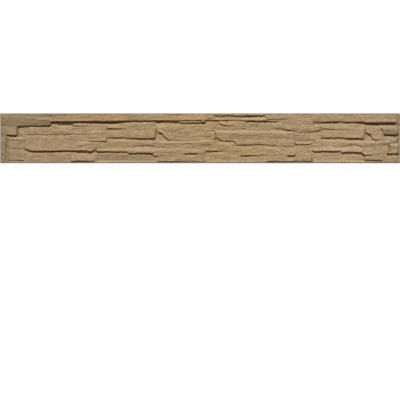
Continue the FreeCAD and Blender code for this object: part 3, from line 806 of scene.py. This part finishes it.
class Nodes:
    """A material's nodes, added and linked by short calls."""

    def __init__(self, name):
        self.material = bpy.data.materials.new(name)
        self.material.use_nodes = True
        self.tree = self.material.node_tree
        self.shader = self.tree.nodes["Principled BSDF"]

    def add(self, kind, inputs=None, **settings):
        """A node with its settings, and its inputs as values or as sockets to link."""
        node = self.tree.nodes.new(kind)
        for key, value in settings.items():
            setattr(node, key, value)
        for key, value in (inputs or {}).items():
            self.put(node.inputs[key], value)
        return node

    def put(self, socket, value):
        """Links a socket into an input, or sets a value there."""
        if isinstance(value, bpy.types.NodeSocket):
            self.tree.links.new(value, socket)
        else:
            socket.default_value = value

    def noise(self, place, scale, detail=3.0, roughness=0.55):
        """Noise of a scale along each axis."""
        inputs = {"Vector": place, "Scale": scale}
        stretched = self.add("ShaderNodeMapping", inputs).outputs["Vector"]
        inputs = {"Vector": stretched, "Scale": 1.0, "Detail": detail, "Roughness": roughness}
        return self.add("ShaderNodeTexNoise", inputs).outputs["Fac"]

    def ramp(self, value, start, end, most):
        """A share that grows from nothing to the most as a value goes from start to end."""
        inputs = {"Value": value, "From Min": start, "From Max": end, "To Min": 0.0, "To Max": most}
        return self.add("ShaderNodeMapRange", inputs).outputs["Result"]

    def mix(self, share, first, second):
        """The first colour with a share of the second in it."""
        node = self.add("ShaderNodeMix", data_type="RGBA")
        self.put(node.inputs["Factor"], share)
        self.put(node.inputs[6], first)  # the node's sockets for colours have the same names as others
        self.put(node.inputs[7], second)
        return node.outputs[2]

    def tint(self, colour, other, value, start, end, most=1.0):
        """The colour with more of another one in it as a value goes from start to end."""
        return self.mix(self.ramp(value, start, end, most), colour, other)

    def marked(self, name):
        """The value that the mesh keeps for each point under that name."""
        return self.add("ShaderNodeAttribute", attribute_name=name).outputs["Fac"]


def stone_colours(n, place, along, up):
    """Patches of rose, ochre and olive, greyer towards the ends and paler on the right and at the top."""
    tone = n.marked("tone")
    from_middle = n.add("ShaderNodeMath", {0: along}, operation="ABSOLUTE").outputs["Value"]
    colour = n.tint(ROSE, OCHRE, n.noise(place, (5, 14, 5)), 0.36, 0.64)
    colour = n.tint(colour, OLIVE, n.noise(place, (9, 20, 9)), 0.5, 0.7, 0.6)
    colour = n.tint(colour, ROSE, tone, 0.0, 1.0, 0.25)
    colour = n.tint(colour, OLIVE, tone, 0.0, -1.0, 0.25)
    colour = n.tint(colour, GREY, along, -0.4 * HALF_LENGTH, -HALF_LENGTH, 0.6)
    colour = n.tint(colour, OCHRE, from_middle, 0.55 * HALF_LENGTH, 0.1 * HALF_LENGTH, 0.35)
    colour = n.tint(colour, PALE, along, 0.1 * HALF_LENGTH, 0.8 * HALF_LENGTH, 0.25)
    colour = n.tint(colour, PALE, up, 0.7 * HALF_HEIGHT, 0.85 * HALF_HEIGHT, 0.2)
    return n.tint(colour, GREY, along, 0.82 * HALF_LENGTH, HALF_LENGTH, 0.5)


def edge_colours(n, along, up):
    """Plain cement, paler at the right end, paler along part of the lower edge as painted light on that
    shaded side, and darker at the upper edge as painted shade on the side that faces the light.
    """
    # painted light: the lower edge, in the sun's shadow, is paler towards the left
    low_edge = n.tint(PALE_CEMENT, CEMENT, along, -0.5 * HALF_LENGTH, 0.8 * HALF_LENGTH)
    colour = n.tint(CEMENT, PALE_CEMENT, along, 0.9 * HALF_LENGTH, 0.98 * HALF_LENGTH, 0.5)
    colour = n.tint(colour, low_edge, up, -0.9 * HALF_HEIGHT, -0.97 * HALF_HEIGHT)
    # painted shade: the upper edge, which faces the light, is darkened
    return n.tint(colour, PAINTED_SHADE_CEMENT, up, 0.5 * HALF_HEIGHT, 0.9 * HALF_HEIGHT)


def weathered(n, place, colour):
    """The colour with blotches, streaks along the board and a fine mottle, some darker and some paler."""
    patch = n.noise(place, (22, 45, 30), 2.0)
    colour = n.tint(colour, GREY, patch, 0.52, 0.72, 0.5)
    colour = n.tint(colour, PALE, patch, 0.48, 0.28, 0.5)
    streak = n.noise(place, (7, 120, 60), 4.0, 0.6)
    colour = n.tint(colour, GREY, streak, 0.53, 0.75, 0.45)
    colour = n.tint(colour, PALE, streak, 0.47, 0.28, 0.45)
    mottle = n.noise(place, (75, 110, 90), 3.0, 0.6)
    colour = n.tint(colour, UMBER, mottle, 0.52, 0.72, 0.6)
    return n.tint(colour, PALE, mottle, 0.48, 0.28, 0.7)


def marked_colours(n, colour):
    """The colour with the duller stones, with painted shade on some upright walls, the worn crests, a
    painted highlight on the lit flanks, painted shade in the gaps and on the steep walls, a painted shadow
    under the lips and the back's dark joints.
    """
    # duller stones, and painted shade on some upright walls
    colour = n.mix(n.marked("dull"), colour, DUN)
    colour = n.tint(colour, PALE, n.marked("wear"), 0.0, 1.0, 0.4)
    # painted highlight: flanks that face the light are made paler
    colour = n.tint(colour, LIT, n.marked("flank"), 0.0, 0.6, 0.25)
    # painted shade: upright gaps and steep walls are darkened
    colour = n.tint(colour, BARK, n.marked("gap"), 0.0, 1.0, 0.8)
    colour = n.tint(colour, BROWN, n.marked("joint"), 0.0, 1.0, 0.9)
    # painted shadow: the sun's shadow under each lip is coloured dark brown
    return n.tint(colour, BROWN, n.marked("painted_shadow"), 0.0, 1.0, 0.95)


def concrete():
    """Sandy tan concrete, with patches, streaks, grains, paler worn arrises and grey edges, and with a
    painted shadow under the lips, painted shade on walls and a painted highlight on lit flanks.
    """
    n = Nodes("concrete")
    place = n.add("ShaderNodeTexCoord").outputs["Object"]
    axes = n.add("ShaderNodeSeparateXYZ", {"Vector": place}).outputs
    along = axes["X"]
    up = axes["Y"]
    colour = stone_colours(n, place, along, up)
    colour = n.tint(colour, edge_colours(n, along, up), n.marked("side"), 0.0, 1.0, 0.9)
    colour = marked_colours(n, weathered(n, place, colour))
    sand = n.noise(place, (420, 420, 420), 2.0)
    colour = n.tint(colour, SOOT, sand, 0.54, 0.72, 0.35)
    colour = n.tint(colour, PALE, sand, 0.46, 0.32, 0.4)
    n.put(n.shader.inputs["Base Color"], colour)
    n.shader.inputs["Roughness"].default_value = 0.92
    n.shader.inputs["Specular IOR Level"].default_value = 0.08
    grains = n.add("ShaderNodeBump", {"Strength": 0.5, "Distance": 0.4 * MM, "Height": sand})
    n.put(n.shader.inputs["Normal"], grains.outputs["Normal"])
    return n.material


def pale_floor():
    """A dull surface that glows white by itself, so that it stays even."""
    n = Nodes("pale_floor")
    n.shader.inputs["Base Color"].default_value = (0.10, 0.10, 0.10, 1)
    n.shader.inputs["Roughness"].default_value = 0.9
    n.shader.inputs["Specular IOR Level"].default_value = 0.0
    n.shader.inputs["Emission Color"].default_value = (1, 1, 1, 1)
    n.shader.inputs["Emission Strength"].default_value = 0.95
    return n.material


def link(thing):
    """Puts a thing into the scene."""
    bpy.context.scene.collection.objects.link(thing)
    return thing


def make_board():
    """The cast board, which stands for the solid."""
    solid = frame["nodes"][NODE].data
    tree = BVHTree.FromPolygons([p.co for p in solid.vertices], [f.vertices for f in solid.polygons])
    u, v = grid()
    face, tone = face_map(tree, u, v)
    back = back_map(tree, u, v)
    face = rounded_border(face, u, v, -1)
    back = rounded_border(back, u, v, 1)
    mesh = new_mesh("cast_board", *board_mesh(u, v, face, back))
    piece = link(bpy.data.objects.new("cast_board", mesh))
    thinned(piece)
    mark_face(piece.data, face, tone)
    mark_rest(piece.data, back)
    piece.data.materials.append(concrete())
    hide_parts(NODE)
    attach(piece, "root")


def make_floor():
    """A plain pale floor under the board."""
    left, right = -FLOOR_REACH, FLOOR_REACH
    corners = [(left, left, 0), (right, left, 0), (right, right, 0), (left, right, 0)]
    mesh = bpy.data.meshes.new("floor")
    mesh.from_pydata(corners, [], [(0, 1, 2, 3)])
    mesh.materials.append(pale_floor())
    link(bpy.data.objects.new("floor", mesh))


def make_lights():
    """One broad light from the board's upper edge, and an even, slightly warm sky."""
    key = bpy.data.lights.new("key", "SUN")
    key.energy = SUN_STRENGTH
    key.angle = SUN_SPREAD
    lamp = link(bpy.data.objects.new("key", key))
    towards = Vector((SUN_DRIFT, -math.cos(SUN_ELEVATION), -math.sin(SUN_ELEVATION)))
    lamp.rotation_euler = towards.to_track_quat("-Z", "Y").to_euler()
    world = bpy.data.worlds.new("studio")
    world.use_nodes = True
    background = world.node_tree.nodes["Background"]
    background.inputs["Color"].default_value = SKY
    background.inputs["Strength"].default_value = SKY_STRENGTH
    bpy.context.scene.world = world
    bpy.context.scene.view_settings.view_transform = "Standard"


def make_camera():
    """Straight above, with the board across the whole picture and above its middle, as in the photograph."""
    camera = bpy.data.cameras.new("camera")
    camera.sensor_width = 36.0
    camera.lens = camera.sensor_width * CAMERA_HEIGHT / VIEW_WIDTH
    camera.clip_end = 2 * CAMERA_HEIGHT
    stand = link(bpy.data.objects.new("camera", camera))
    stand.location = (*VIEW_MIDDLE, CAMERA_HEIGHT)
    bpy.context.scene.camera = stand


make_board()
make_floor()
make_lights()
make_camera()
